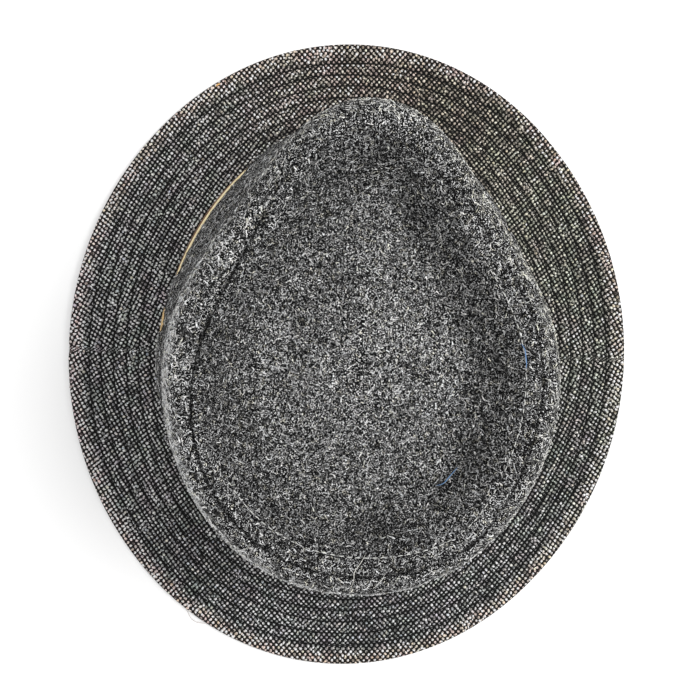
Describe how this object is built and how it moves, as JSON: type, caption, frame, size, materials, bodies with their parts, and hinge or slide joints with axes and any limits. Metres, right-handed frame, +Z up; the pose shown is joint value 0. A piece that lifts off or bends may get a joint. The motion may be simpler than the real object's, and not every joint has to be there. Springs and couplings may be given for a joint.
{
  "type": "fedora hat",
  "caption": "Stitched cloth trilby fedora: round-section woven brim, pinched wool crown with a sunken teardrop tip, and a thin leather band.",
  "frame": {"origin": "middle of the brim's outline, on the surface that the hat rests on", "axes": "+Z up; +Y towards the front of the hat, the narrow end of the teardrop; +X towards the wearer's right"},
  "size_m": [0.267, 0.3004, 0.1077],
  "materials": {
    "woven_cloth": "coarse plain weave of light dots on black, stitched in rows",
    "wool_cloth": "brushed charcoal wool with pale curly fibres",
    "band_leather": "smooth tan leather with raw cut edges"
  },
  "bodies": {
    "root": {"brim": "woven_cloth", "crown_side": "wool_cloth", "crown_tip": "wool_cloth", "hatband": "band_leather", "band_overlap": "band_leather"}
  },
  "joints": []
}
